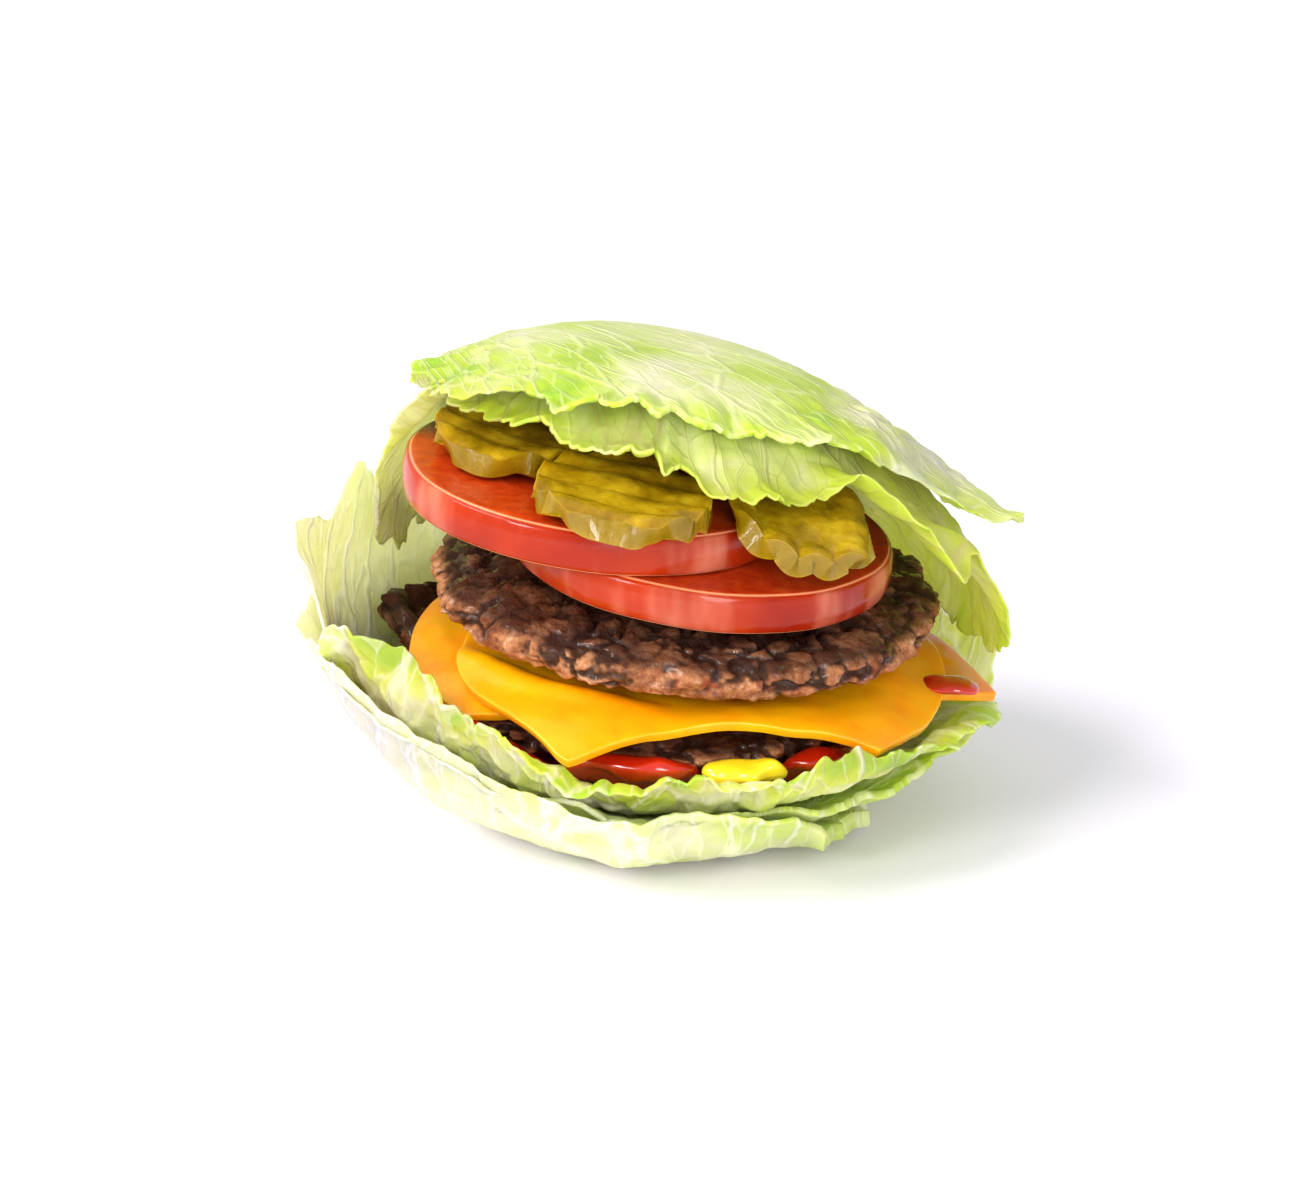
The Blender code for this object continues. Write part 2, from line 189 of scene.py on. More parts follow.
def mark(piece, name, values):
    """Keeps a value for each point of the mesh, for the finish to read."""
    values = np.asarray(values, np.float32)
    if values.ndim == 2:
        piece.data.attributes.new(name, "FLOAT_VECTOR", "POINT").data.foreach_set("vector", values.ravel())
    else:
        piece.data.attributes.new(name, "FLOAT", "POINT").data.foreach_set("value", values)


def apply(piece, modifier):
    bpy.context.view_layer.objects.active = piece
    bpy.ops.object.modifier_apply(modifier=modifier.name)


def thicken(piece, thickness, offset, thin=None, heavy=None):
    """A wall of even thickness, or one that thins out from thickness to thin as heavy falls to 0."""
    wall = piece.modifiers.new("Wall", "SOLIDIFY")
    wall.thickness = thickness
    wall.offset = offset
    if heavy is not None:
        group = piece.vertex_groups.new(name="heart")
        for index, weight in enumerate(heavy.tolist()):
            group.add([index], weight, "REPLACE")
        wall.vertex_group = "heart"
        wall.thickness_vertex_group = thin / thickness
    apply(piece, wall)


def round_edges(piece, width):
    edge = piece.modifiers.new("Edge", "BEVEL")
    edge.width = width
    edge.segments = 3
    edge.limit_method = "ANGLE"
    edge.angle_limit = math.radians(50)
    apply(piece, edge)


def place(points, pose):
    turned = np.array(pose)
    return points @ turned[:3, :3].T + turned[:3, 3]


def stack_pose(x, y, height, pitch=0.0, roll=0.0, turn=0.0):
    """Where a layer of the filling lies, in mm and degrees, on top of the tilt of the whole filling."""
    tilt = Matrix.Rotation(STACK_ROLL + math.radians(roll), 4, "Y")
    tilt = tilt @ Matrix.Rotation(STACK_PITCH + math.radians(pitch), 4, "X")
    spot = Vector(PLACE) + Vector((x, y, height)) * MM
    return Matrix.Translation(spot) @ tilt @ Matrix.Rotation(math.radians(turn), 4, "Z")


def finish_piece(piece, node, finish):
    piece.data.materials.clear()
    piece.data.materials.append(finish)
    piece.data.shade_smooth()
    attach(piece, "root")
    if node:
        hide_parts(node)
    return piece


# Finishes

def add(tree, kind, inputs=None, **settings):
    """One shader node: inputs by name or number, each a value or another node's output."""
    made = tree.nodes.new("ShaderNode" + kind)
    for name, value in settings.items():
        setattr(made, name, value)
    for name, value in (inputs or {}).items():
        if isinstance(value, bpy.types.NodeSocket):
            tree.links.new(value, made.inputs[name])
        else:
            made.inputs[name].default_value = value
    return made


def maths(tree, operation, *values, clamp=False):
    return add(tree, "Math", dict(enumerate(values)), operation=operation, use_clamp=clamp).outputs[0]


def vector_maths(tree, operation, *values):
    return add(tree, "VectorMath", dict(enumerate(values)), operation=operation).outputs[0]


def between(tree, value, low, high, start=0.0, end=1.0):
    """value drawn out from low..high to start..end, softly."""
    limits = {0: value, 1: low, 2: high, 3: start, 4: end}
    return add(tree, "MapRange", limits, interpolation_type="SMOOTHSTEP").outputs[0]


def blend(tree, factor, one, other):
    return add(tree, "Mix", {0: factor, 6: one, 7: other}, data_type="RGBA").outputs[2]


def tint(tree, colour, mask, strength, other):
    """A colour with another laid over it where the mask is, up to a strength."""
    return blend(tree, maths(tree, "MULTIPLY", mask, strength), colour, (*other, 1))


def weighted(tree, *parts):
    """The sum of pairs of (value, weight)."""
    total = maths(tree, "MULTIPLY", *parts[0])
    for value, weight in parts[1:]:
        total = maths(tree, "ADD", total, maths(tree, "MULTIPLY", value, weight))
    return total


def attribute(tree, name, output="Fac"):
    return add(tree, "Attribute", attribute_name=name).outputs[output]


def noise_texture(tree, place_socket, scale, detail=3.0, rough=0.55):
    inputs = {"Vector": place_socket, "Scale": scale, "Detail": detail, "Roughness": rough}
    return add(tree, "TexNoise", inputs).outputs[0]


def ramp(tree, factor, stops):
    made = add(tree, "ValToRGB", {0: factor})
    colours = made.color_ramp
    while len(colours.elements) < len(stops):
        colours.elements.new(0.5)
    for element, (spot, colour) in zip(colours.elements, stops):
        element.position = spot
        element.color = (*colour, 1)
    return made.outputs[0]


def group_tree(name, inputs, outputs):
    tree = bpy.data.node_groups.new(name, "ShaderNodeTree")
    for title, kind, value in inputs:
        socket = tree.interface.new_socket(title, in_out="INPUT", socket_type=kind)
        socket.default_value = value
    for title in outputs:
        tree.interface.new_socket(title, in_out="OUTPUT", socket_type="NodeSocketFloat")
    return tree, tree.nodes.new("NodeGroupInput").outputs, tree.nodes.new("NodeGroupOutput").inputs


def use_group(tree, group, inputs):
    made = tree.nodes.new("ShaderNodeGroup")
    made.node_tree = group
    for name, value in inputs.items():
        if isinstance(value, bpy.types.NodeSocket):
            tree.links.new(value, made.inputs[name])
        else:
            made.inputs[name].default_value = value
    return made.outputs


def blank_finish(name, **sockets):
    """A material with a Principled shader, its steady values set on its own sockets."""
    material = bpy.data.materials.new(name)
    material.use_nodes = True
    tree = material.node_tree
    shader = tree.nodes["Principled BSDF"]
    for title, value in sockets.items():
        shader.inputs[title.replace("_", " ")].default_value = value
    return material, tree, shader


def relief(tree, shader, height, depth):
    bump = add(tree, "Bump", {"Height": height, "Distance": depth, "Strength": 1.0})
    tree.links.new(bump.outputs[0], shader.inputs["Normal"])


# How the veins lie: (how many times as many of them, how many times as short, how far they wander).
RIB_FAN = (1.0, 1.0, 0.45)
NET_FAN = (2.7, 2.4, 0.9)
NET_WIDTH = 1.3
WANDER_SCALE = 55.0
CRINKLE_SCALE = 260.0


def make_vein_group():
    """Veins that fan out from the base of a leaf, in the coordinates of the leaf laid flat."""
    tree, given, out = group_tree(
        "leaf_veins",
        [
            ("Flat", "NodeSocketVector", (0, 0, 0)), ("Base", "NodeSocketVector", (0, 0, 0)),
            ("Ribs", "NodeSocketFloat", 8.0), ("Reach", "NodeSocketFloat", 0.05),
            ("Width", "NodeSocketFloat", 0.06),
        ],
        ["Rib", "Net", "Crinkle"],
    )
    from_base = vector_maths(tree, "SUBTRACT", given["Flat"], given["Base"])
    wander = add(tree, "TexNoise", {"Vector": given["Flat"], "Scale": WANDER_SCALE, "Detail": 2.0}).outputs[1]
    wander = vector_maths(tree, "SUBTRACT", wander, (0.5, 0.5, 0.5))
    away = add(tree, "VectorMath", {0: from_base}, operation="LENGTH").outputs[1]
    direction = vector_maths(tree, "NORMALIZE", from_base)
    spots = []
    for spread, stretch, sway in (RIB_FAN, NET_FAN):
        ribs = maths(tree, "MULTIPLY", given["Ribs"], spread)
        around = add(tree, "VectorMath", {0: direction, 3: ribs}, operation="SCALE").outputs[0]
        along = maths(tree, "DIVIDE", away, given["Reach"])
        along = maths(tree, "MULTIPLY", along, stretch)
        spot = vector_maths(tree, "ADD", around, add(tree, "CombineXYZ", {2: along}).outputs[0])
        sways = add(tree, "VectorMath", {0: wander, 3: sway}, operation="SCALE").outputs[0]
        spots.append(vector_maths(tree, "ADD", spot, sways))
    widths = [given["Width"], maths(tree, "MULTIPLY", given["Width"], NET_WIDTH)]
    for title, spot, width in zip(("Rib", "Net"), spots, widths):
        cells = add(tree, "TexVoronoi", {"Vector": spot, "Scale": 1.0}, feature="DISTANCE_TO_EDGE")
        tree.links.new(between(tree, cells.outputs["Distance"], 0.0, width, 1.0, 0.0), out[title])
    tree.links.new(noise_texture(tree, given["Flat"], CRINKLE_SCALE, 4.0, 0.6), out["Crinkle"])
    return tree


VEINS = make_vein_group()

# Cream at the heart of a leaf, then pale green, yellow-green and green towards its margin.
LEAF_COLOURS = [
    (0.0, (0.67, 0.65, 0.40)), (0.36, (0.52, 0.60, 0.18)), (0.66, (0.42, 0.55, 0.04)),
    (0.95, (0.22, 0.40, 0.02)),
]


def leaf_finish(name, base, ribs, reach, rib_colour, rib_strength, net_strength, width=0.06):
    """Iceberg lettuce: cream to green by the piece's own green value, patchy, with raised veins."""
    material, tree, shader = blank_finish(
        name, Roughness=0.38, Subsurface_Weight=0.8, Subsurface_Radius=(0.9, 1.0, 0.4),
        Subsurface_Scale=0.006, Specular_IOR_Level=0.4,
    )
    flat = attribute(tree, "flat", "Vector")
    veins = use_group(tree, VEINS, {"Flat": flat, "Base": base, "Ribs": ribs, "Reach": reach, "Width": width})
    patches = noise_texture(tree, flat, 42.0, 3.0)
    patches = maths(tree, "MULTIPLY", maths(tree, "SUBTRACT", patches, 0.5), 0.9)
    green = maths(tree, "ADD", attribute(tree, "green"), patches, clamp=True)
    colour = ramp(tree, green, LEAF_COLOURS)
    colour = tint(tree, colour, veins["Rib"], rib_strength, rib_colour)
    colour = tint(tree, colour, veins["Net"], net_strength, rib_colour)
    tree.links.new(colour, shader.inputs["Base Color"])
    height = weighted(tree, (veins["Rib"], 0.7), (veins["Net"], 0.3), (veins["Crinkle"], 0.9))
    relief(tree, shader, height, 0.45 * MM)
    return material


def beef_finish():
    """Seared mince: dark and wet where it met the pan, pink-brown crumbs in between, with painted shade
    darkening the cracks.
    """
    material, tree, shader = blank_finish(
        "beef_seared", Specular_IOR_Level=0.18, Coat_Roughness=0.1, Coat_IOR=1.4,
        Subsurface_Weight=0.06, Subsurface_Scale=0.002, Subsurface_Radius=(1.0, 0.35, 0.2),
    )
    place_socket = add(tree, "TexCoord").outputs["Object"]
    deep, sear = attribute(tree, "deep"), attribute(tree, "sear")
    broad = noise_texture(tree, place_socket, 120.0, 4.0)
    fine = noise_texture(tree, place_socket, 620.0, 5.0, 0.65)
    colour = ramp(tree, weighted(tree, (broad, 0.6), (fine, 0.4)), [
        (0.34, (0.10, 0.024, 0.007)), (0.43, (0.23, 0.068, 0.022)), (0.52, (0.40, 0.155, 0.060)),
        (0.64, (0.62, 0.31, 0.145)),
    ])
    reddish = between(tree, noise_texture(tree, place_socket, 190.0, 2.0), 0.58, 0.70)
    colour = tint(tree, colour, reddish, 0.6, (0.27, 0.030, 0.012))
    colour = tint(tree, colour, sear, 0.93, (0.040, 0.011, 0.005))
    # Painted shade: the colour darkens where the surface sinks into cracks.
    crack = between(tree, deep, 0.08, 0.5, 1.0, 0.0)
    colour = tint(tree, colour, crack, 0.92, (0.022, 0.006, 0.003))
    tree.links.new(colour, shader.inputs["Base Color"])
    wet = between(tree, noise_texture(tree, place_socket, 300.0, 4.0), 0.46, 0.60)
    tree.links.new(maths(tree, "MULTIPLY_ADD", wet, -0.35, 0.62), shader.inputs["Roughness"])
    coat = maths(tree, "MULTIPLY", wet, maths(tree, "MULTIPLY_ADD", sear, 0.4, 0.6))
    tree.links.new(coat, shader.inputs["Coat Weight"])
    relief(tree, shader, weighted(tree, (fine, 0.6), (broad, 0.4)), 1.4 * MM)
    return material


def cheese_finish():
    """Soft processed cheese: clouded orange-yellow, with a greasy shine in places."""
    material, tree, shader = blank_finish(
        "cheese_soft", Roughness=0.33, Subsurface_Weight=0.6, Subsurface_Radius=(1.0, 0.55, 0.05),
        Subsurface_Scale=0.005, Coat_Roughness=0.2, Specular_IOR_Level=0.3,
    )
    place_socket = add(tree, "TexCoord").outputs["Object"]
    cloud = noise_texture(tree, place_socket, 45.0, 3.0)
    colour = ramp(tree, cloud, [
        (0.35, (1.0, 0.26, 0.0003)), (0.5, (1.0, 0.345, 0.0006)), (0.68, (1.0, 0.42, 0.001)),
    ])
    tree.links.new(colour, shader.inputs["Base Color"])
    tree.links.new(between(tree, cloud, 0.4, 0.7, 0.2, 0.5), shader.inputs["Coat Weight"])
    relief(tree, shader, noise_texture(tree, place_socket, 160.0, 3.0), 0.25 * MM)
    return material


def tomato_finish():
    """Wet tomato: a skin with upright streaks of painted highlight, flesh on the cut faces, and a painted
    highlight along the edge between.
    """
    material, tree, shader = blank_finish(
        "tomato_wet", Subsurface_Weight=0.2, Subsurface_Radius=(1.0, 0.22, 0.10), Subsurface_Scale=0.004,
        Coat_Weight=0.3, Coat_Roughness=0.1, Specular_IOR_Level=0.12,
    )
    place_socket = add(tree, "TexCoord").outputs["Object"]
    skin, line = attribute(tree, "skin"), attribute(tree, "line")
    cloud = noise_texture(tree, place_socket, 30.0, 3.0)
    side = ramp(tree, cloud, [(0.35, (0.27, 0.010, 0.001)), (0.65, (0.43, 0.032, 0.003))])
    fibres = noise_texture(tree, place_socket, 330.0, 4.0, 0.6)
    flesh = ramp(tree, fibres, [(0.3, (0.42, 0.018, 0.002)), (0.7, (0.60, 0.06, 0.007))])
    colour = blend(tree, skin, flesh, side)
    upright = vector_maths(tree, "MULTIPLY", place_socket, (1.0, 1.0, 0.25))
    # Painted highlight: pale orange upright streaks laid into the skin colour.
    sheen = between(tree, noise_texture(tree, upright, 62.0, 3.0), 0.48, 0.74)
    colour = tint(tree, colour, maths(tree, "MULTIPLY", sheen, skin), 0.7, (0.70, 0.25, 0.15))
    # Painted highlight: a pale line along the cut edge of the skin.
    colour = tint(tree, colour, line, 0.75, (0.92, 0.42, 0.20))
    tree.links.new(colour, shader.inputs["Base Color"])
    tree.links.new(between(tree, skin, 0.0, 1.0, 0.28, 0.2), shader.inputs["Roughness"])
    height = maths(tree, "MULTIPLY", fibres, maths(tree, "MULTIPLY_ADD", skin, -0.6, 1.0))
    relief(tree, shader, height, 0.3 * MM)
    return material


def pickle_finish():
    """Pickled cucumber: olive amber, see-through at the heart, darker green skin round the rim."""
    material, tree, shader = blank_finish(
        "pickle_wet", Roughness=0.22, Subsurface_Weight=0.7, Subsurface_Radius=(1.0, 0.7, 0.08),
        Subsurface_Scale=0.006, Coat_Weight=0.35, Coat_Roughness=0.06, Specular_IOR_Level=0.22,
    )
    place_socket = add(tree, "TexCoord").outputs["Object"]
    rim = attribute(tree, "rim")
    cloud = noise_texture(tree, place_socket, 110.0, 4.0)
    colour = ramp(tree, cloud, [
        (0.30, (0.14, 0.072, 0.001)), (0.5, (0.32, 0.182, 0.002)), (0.70, (0.56, 0.37, 0.010)),
    ])
    colour = tint(tree, colour, between(tree, rim, 0.94, 0.995), 0.85, (0.24, 0.150, 0.002))
    tree.links.new(colour, shader.inputs["Base Color"])
    fine = noise_texture(tree, place_socket, 420.0, 4.0, 0.6)
    relief(tree, shader, fine, 0.5 * MM)
    return material


def sauce_finish(name, dark, light, radius):
    """A thick wet sauce, clouded between two shades."""
    material, tree, shader = blank_finish(
        name, Roughness=0.14, Subsurface_Weight=0.3, Subsurface_Radius=radius, Subsurface_Scale=0.003,
        Coat_Weight=0.4, Coat_Roughness=0.05,
    )
    place_socket = add(tree, "TexCoord").outputs["Object"]
    cloud = noise_texture(tree, place_socket, 90.0, 3.0)
    tree.links.new(ramp(tree, cloud, [(0.35, dark), (0.65, light)]), shader.inputs["Base Color"])
    relief(tree, shader, noise_texture(tree, place_socket, 200.0, 2.0), 0.3 * MM)
    return material


# Leaves

# How many waves run round a leaf in each of its kinds of unevenness.
TOOTH_WAVES = (42, 95, 210)
STRAY_WAVES = (11, 24)
PLEAT_WAVES = (17, 29)
MARGIN_WAVES = (50, 110)
ROLL_WAVES = (15, 37)

MARGIN_BAND = 9 * MM
GREEN_BAND = 14 * MM
PUFF_SIZE = 8.5 * MM
PATCH_SIZE = 15 * MM


def core_share(distance, ends):
    """1 over the thick heart of a leaf, falling to 0 where it has thinned out."""
    return 1 - ease((distance - BOWL_FLAT) / (ends - BOWL_FLAT))


def bowl_shell(distance, angle):
    return curl(distance, BOWL_FLAT, by_direction(BOWL_CURL_RADIUS, angle) * MM, BOWL_STEEPEST)


def lid_shell(steepest):
    def shell(distance, angle):
        radius = by_direction(LID_CURL_RADIUS, angle) * MM
        return curl(distance, LID_FLAT, radius, np.radians(by_direction(steepest, angle)))

    return shell


def margin_frill(band, amplitude, waves, seed, lean):
    """Waves that grow over the last band of a leaf, with a lean outwards by direction in mm."""

    def frill(distance, angle, reach):
        growth = ease((distance - reach + band) / band)
        return growth * (by_direction(lean, angle) * MM + amplitude * ripple(angle, waves, seed))

    return frill


def rolled(distance, start, curve):
    """How far a sheet falls short and moves sideways where it rolls up beyond a start."""
    beyond = np.maximum(distance - start, 0)
    curve = np.where(np.abs(curve) < 0.5, 0.5, curve)
    turn = beyond * curve
    return np.sin(turn) / curve - beyond, (1 - np.cos(turn)) / curve


def leaf(name, finish, up, cells, length, shell, inset, frill, core, crisp, roll, green, ragged=0.0):
    """One leaf, up 1 for the bowl and -1 for the lid, with the solid's shape and a crisp margin.

    crisp is (depth of the teeth in mm, rows of the height of the pleats in mm by direction,
    height of the puffs in mm, seed), roll is (rows of how wide a margin rolls outwards in mm,
    rows of how far it rolls in degrees, its unevenness in degrees), and green is (rows of
    greenness by direction, how much the margin adds, patchiness). ragged is how far the margin
    strays in and out in mm.
    """
    sheet = grid(name, cells, cells)
    corners = points_of(sheet)
    x, y = corners[:, 0], corners[:, 1]
    x, y = x * np.sqrt(1 - y * y / 2), y * np.sqrt(1 - x * x / 2)
    share = np.minimum(np.hypot(x, y), 1)
    angle = np.arctan2(y, x)
    teeth, pleats, puffs, seed = crisp
    coarse, medium, fine = TOOTH_WAVES
    tooth = 0.45 - np.abs(ripple(angle, coarse, seed))
    tooth = tooth + 0.5 * ripple(angle, medium, seed + 2) + 0.25 * ripple(angle, fine, seed)
    wide, narrow = STRAY_WAVES
    stray_reach = ripple(angle, wide, seed + 20) + 0.5 * ripple(angle, narrow, seed + 21)
    reach = (by_direction(length, angle) + teeth * tooth + ragged * stray_reach) * MM
    distance = share * reach
    flat = np.stack((distance * np.cos(angle), distance * np.sin(angle), np.zeros(len(x))), axis=1)
    out, rise, slope = shell(distance, angle)
    growth = ease((distance - BOWL_FLAT) / (reach - BOWL_FLAT))
    at_margin = ease((distance - reach + MARGIN_BAND) / MARGIN_BAND)
    stray = angle + 0.10 * soft_noise(flat, 24 * MM, seed + 1)
    wide, narrow = PLEAT_WAVES
    pleat = 1.2 * ripple(stray, wide, seed + 5) + 0.5 * (0.4 - 2 * np.abs(ripple(stray, narrow, seed + 6)))
    wide, narrow = MARGIN_WAVES
    crimp = 0.45 * ripple(angle, wide, seed + 7) + 0.15 * ripple(angle, narrow, seed + 8)
    pleat = growth**1.5 * pleat + at_margin * crimp
    middle, crack = lumps(flat + 2 * MM * soft_noise(flat, 9 * MM, seed)[:, None], PUFF_SIZE, seed)
    puff = middle - 0.55 - 0.35 * crack + 0.45 * soft_noise(flat, 4 * MM, seed + 3)
    puff = puff + 1.6 * soft_noise(flat, 24 * MM, seed + 9)
    beyond_heart = ease((distance - BOWL_FLAT) / (25 * MM))
    inwards = inset(distance) - frill(distance, angle, reach)
    inwards = inwards - by_direction(pleats, angle) * MM * pleat - beyond_heart * puffs * MM * puff
    bands, rolls, uneven = roll
    band = by_direction(bands, angle) * MM
    wide, narrow = ROLL_WAVES
    unevenly = ripple(angle, wide, seed + 11) + 0.6 * ripple(angle, narrow, seed + 13)
    turn = by_direction(rolls, angle) + uneven * unevenly
    short, sideways = rolled(distance, reach - band, np.radians(turn) / band)
    inwards = inwards - sideways
    out = out - inwards * np.sin(slope) + short * np.cos(slope)
    height = rise + inwards * np.cos(slope) + short * np.sin(slope)
    points = np.stack((out * np.cos(angle), out * np.sin(angle), up * height), axis=1)
    if up < 0:
        bpy.ops.object.mode_set(mode="EDIT")
        bpy.ops.mesh.select_all(action="SELECT")
        bpy.ops.mesh.flip_normals()
        bpy.ops.object.mode_set(mode="OBJECT")
        points = place(points, Matrix.Rotation(LID_LEAN, 4, "Y")) + LID_PLACE
    move_points(sheet, points + PLACE)
    rows, at_edge, patchiness = green
    greenness = by_direction(rows, angle) + at_edge * ease((distance - reach + GREEN_BAND) / GREEN_BAND)
    greenness = greenness + patchiness * soft_noise(flat, PATCH_SIZE, seed + 4) - 0.12 * crack
    mark(sheet, "green", np.clip(greenness, 0, 1))
    mark(sheet, "flat", flat)
    thickness, ends = core
    thicken(sheet, thickness, 1, THIN_MARGIN, core_share(distance, ends))
    return finish_piece(sheet, name.replace("leaf_", "lettuce_", 1), finish)


def middle_inset(distance):
    thickness = LEAF_EDGE + (LEAF_CORE - LEAF_EDGE) * core_share(distance, BOWL_CORE_ENDS)
    return thickness + LEAF_GAP


def inner_inset(distance):
    at_core = 2 * LEAF_CORE + 2 * LEAF_GAP
    return INNER_SET_IN + (at_core - INNER_SET_IN) * core_share(distance, BOWL_CORE_ENDS)


def bowl_leaves():
    cells = 190
    core = (LEAF_CORE, BOWL_CORE_ENDS)
    outer_lean = [(0, 1.7), (180, 1.7), (205, 0), (225, -1.9), (290, -1.6), (315, 0.6)]
    leaf(
        "leaf_bowl_outer",
        leaf_finish("lettuce_outer_leaf", (0, 70 * MM, 0), 9.0, 0.06, (0.93, 0.92, 0.72), 0.5, 0.3),
        1, cells,
        length=[
            (0, 47), (30, 53), (60, 68), (90, 82), (120, 91), (150, 98), (178, 101), (192, 98), (203, 95),
            (217, 84), (232, 77), (248, 73), (265, 71), (283, 70), (300, 64), (318, 52), (340, 47),
        ],
        shell=bowl_shell, inset=lambda distance: 0.0,
        frill=margin_frill(22 * MM, 1.5 * MM, 15, 1.3, outer_lean), core=core,
        crisp=(1.3, [(0, 0.8), (200, 1.2), (232, 2.3), (268, 2.0), (295, 1.0)], 0.45, 11.0),
        roll=([(0, 9), (180, 9)], [(0, 10), (180, 14), (225, 0), (290, 0), (320, 10)], 20),
        green=([(0, 0.3), (90, 0.2), (180, -0.1), (230, 0.12), (290, 0.32)], 0.1, 0.18), ragged=2.6,
    )
    middle_lean = [
        (0, 0), (165, 0.5), (175, 1), (184, 5), (192, 0.5), (205, 0), (225, -2.2), (290, -2.2), (312, 0),
    ]
    middle_green = [
        (0, 0.5), (60, 0.3), (150, -0.25), (190, -0.4), (212, -0.05), (235, 0.22), (290, 0.3), (320, 0.5),
    ]
    leaf(
        "leaf_bowl_middle",
        leaf_finish("lettuce_middle_leaf", (20 * MM, -70 * MM, 0), 8.0, 0.06, (0.93, 0.92, 0.70), 0.4, 0.25),
        1, cells,
        length=[
            (0, 72), (12, 86), (17, 99), (23, 90), (34, 92), (50, 98), (70, 106), (95, 110), (125, 115),
            (150, 119), (162, 127), (170, 117), (176, 121), (184, 118), (191, 110), (199, 97), (212, 86),
            (228, 74), (245, 68), (262, 66), (280, 66), (300, 63), (320, 60), (340, 62),
        ],
        shell=bowl_shell, inset=middle_inset,
        frill=margin_frill(14 * MM, 0.5 * MM, 17, 4.1, middle_lean), core=core,
        crisp=(1.6, [(0, 0.7), (160, 1.0), (190, 1.2), (230, 0.5)], 0.35, 23.0),
        roll=([(0, 8), (180, 9)], [(0, 5), (150, 20), (190, 30), (250, 20), (320, 5)], 28),
        green=(middle_green, 0.12, 0.16), ragged=1.6,
    )
    inner_lean = [(0, -0.3), (190, -0.3), (215, 1.0), (235, 1.6), (290, 1.6), (320, 0.5)]
    leaf(
        "leaf_bowl_inner",
        leaf_finish("lettuce_inner_leaf", (0, 60 * MM, 0), 8.0, 0.05, (0.93, 0.93, 0.62), 0.4, 0.25),
        1, cells,
        length=[
            (0, 85), (20, 78), (50, 76), (90, 78), (135, 82), (170, 82), (193, 88), (199, 101), (207, 106),
            (215, 103), (222, 96), (230, 91), (240, 88.5), (250, 87), (260, 83), (272, 81.8), (288, 82),
            (302, 83), (316, 83), (332, 82), (350, 84),
        ],
        shell=bowl_shell, inset=inner_inset,
        frill=margin_frill(24 * MM, 2.4 * MM, 19, 7.7, inner_lean), core=core,
        crisp=(3.2, [(0, 1.1), (190, 1.4), (210, 3.2), (238, 3.0), (268, 2.2), (300, 1.4)], 0.8, 37.0),
        roll=(
            [(0, 10), (180, 10), (205, 15), (225, 13), (245, 11), (300, 10)],
            [(0, 20), (150, 15), (195, 35), (213, 50), (232, 35), (255, 30), (290, 30), (330, 25)], 52,
        ),
        green=([(0, 0.45), (120, 0.3), (200, 0.3), (225, 0.44), (270, 0.42), (320, 0.5)], 0.42, 0.32),
    )


def lid_leaves():
    cells = 190
    core = (LID_CORE, LID_CORE_ENDS)
    leaf(
        "leaf_lid_outer",
        leaf_finish(
            "lettuce_lid_outer_leaf", (-60 * MM, 45 * MM, 0), 8.0, 0.04, (0.80, 0.83, 0.48), 0.32, 0.28,
        ),
        -1, cells,
        length=[
            (0, 86), (20, 81), (50, 80), (90, 82), (125, 76), (155, 66), (175, 55), (192, 53), (205, 55),
            (216, 56), (225, 53), (233, 46), (242, 50), (255, 44), (270, 41), (285, 43), (300, 45), (315, 47),
            (328, 55), (340, 72), (352, 85.5),
        ],
        shell=lid_shell([
            (0, 34), (30, 60), (60, 88), (120, 90), (160, 84), (200, 60), (270, 40), (320, 34), (345, 32),
        ]),
        inset=lambda distance: 0.0,
        frill=margin_frill(20 * MM, 1.8 * MM, 17, 2.2, [(0, 1), (180, 1)]), core=core,
        crisp=(2.0, [(0, 2.2), (60, 1.0), (180, 1.2), (270, 1.2), (330, 2.0), (345, 2.8)], 0.75, 51.0),
        roll=([(0, 9), (180, 9)], [(0, 15), (180, 25), (270, 15)], 30),
        green=([(0, 0.42), (90, 0.35), (180, 0.5), (225, 0.62), (270, 0.42)], 0.2, 0.3), ragged=2.2,
    )
    inner_lean = [
        (0, 1), (20, -1.4), (150, -1.4), (176, 1.2), (198, 1.2), (228, -1.4), (318, -1.4), (334, 4), (348, 5),
    ]
    leaf(
        "leaf_lid_inner",
        leaf_finish(
            "lettuce_lid_inner_leaf", (-20 * MM, 70 * MM, 0), 8.0, 0.05, (0.52, 0.45, 0.17), 0.55, 0.2,
            width=0.045,
        ),
        -1, cells,
        length=[
            (0, 111), (20, 107), (60, 100), (90, 106), (120, 104), (145, 100), (160, 105), (170, 96),
            (182, 72), (195, 56), (220, 50), (240, 48), (255, 52), (270, 52), (288, 58), (302, 57.5),
            (313, 58.8), (321, 61), (329, 74), (335, 86), (341, 82), (348, 104),
        ],
        shell=lid_shell([(0, 80), (60, 90), (120, 92), (180, 92), (220, 70), (270, 60), (320, 70)]),
        inset=lambda distance: LID_CORE + LID_GAP,
        frill=margin_frill(22 * MM, 1.6 * MM, 21, 5.5, inner_lean), core=core,
        crisp=(3.0, [(0, 2.0), (60, 1.4), (200, 1.3), (300, 1.4), (335, 2.4)], 0.4, 67.0),
        roll=(
            [(0, 12), (180, 9), (270, 10)],
            [(0, 20), (90, 20), (185, 10), (225, 25), (270, 35), (325, 40)], 38,
        ),
        green=([(0, 0.5), (90, 0.3), (180, 0.12), (235, 0.5), (300, 0.5)], 0.25, 0.18),
    )


# Filling

def bluntly(level, bluntness):
    """How far a round layer spreads at a level from -1 to 1 of its height, as a share of its radius."""
    return np.where(np.abs(level) < 0.9999, np.maximum(0, 1 - level**2) ** bluntness, 0)


